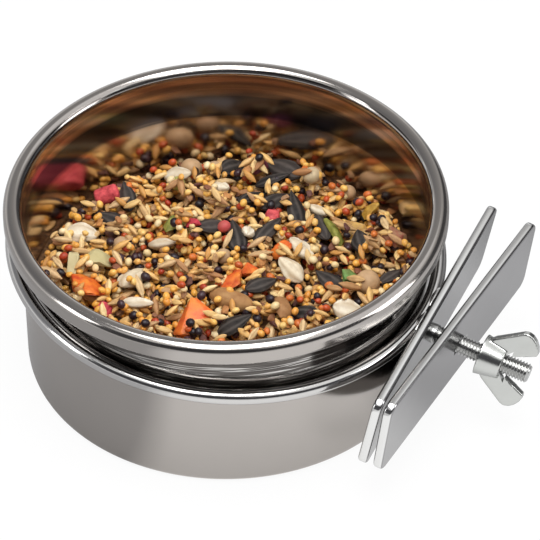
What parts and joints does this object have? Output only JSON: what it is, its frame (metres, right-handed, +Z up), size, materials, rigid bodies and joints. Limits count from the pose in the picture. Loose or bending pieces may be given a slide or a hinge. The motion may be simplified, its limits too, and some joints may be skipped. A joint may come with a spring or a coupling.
{
  "type": "clamp-on seed cup",
  "caption": "Steel seed cup with a rolled rim in a wire ring holder, with flat jaws, a bolt and a wing nut that clamp it to cage bars.",
  "frame": {"origin": "middle of the cup's base, on the surface that it stands on", "axes": "+X from the cup's axis towards the clamp, +Z up the cup's axis, +Y along the jaws"},
  "size_m": [0.1376, 0.11, 0.049],
  "materials": {
    "cup_steel": "polished",
    "holder_steel": "polished",
    "jaw_steel": "polished",
    "bolt_steel": "bright thread",
    "nut_zinc": "bright zinc plate",
    "seed_mix": "matt seeds",
    "sunflower_husk": "matt husk",
    "pale_kernel": "smooth kernel",
    "fruit": "waxy",
    "pellet": "matt",
    "pea": "matt skin",
    "grain": "smooth husk"
  },
  "bodies": {
    "holder": {"holder_ring": "holder_steel", "fixed_jaw": "jaw_steel", "clamp_bolt": "bolt_steel"},
    "cup": {"cup": "cup_steel", "seed_bed": "seed_mix", "sunflower_seeds": "sunflower_husk", "pale_kernels": "pale_kernel", "dried_fruit": "fruit", "pellets": "pellet", "peas": "pea", "small_grains": "grain"},
    "loose_jaw": {"moving_jaw": "jaw_steel"},
    "nut": {"wing_nut": "nut_zinc"}
  },
  "joints": [
    {"name": "cup_lift", "type": "slide", "parent": "holder", "child": "cup", "axis": [0, 0, 1], "range_m": [-0.004, 0.045]},
    {"name": "jaw_slide", "type": "slide", "parent": "holder", "child": "loose_jaw", "axis": [0.9848, 0, -0.1736], "range_m": [0, 0.0062]},
    {"name": "nut_spin", "type": "hinge", "parent": "loose_jaw", "child": "nut", "pos_m": [0.05568, 0, 0.02359], "axis": [0.9848, 0, -0.1736], "range_deg": [0, 2791]}
  ],
  "couplings": [
    {"joint": "nut_spin", "follows": "jaw_slide", "rad_per_m": 7854}
  ]
}
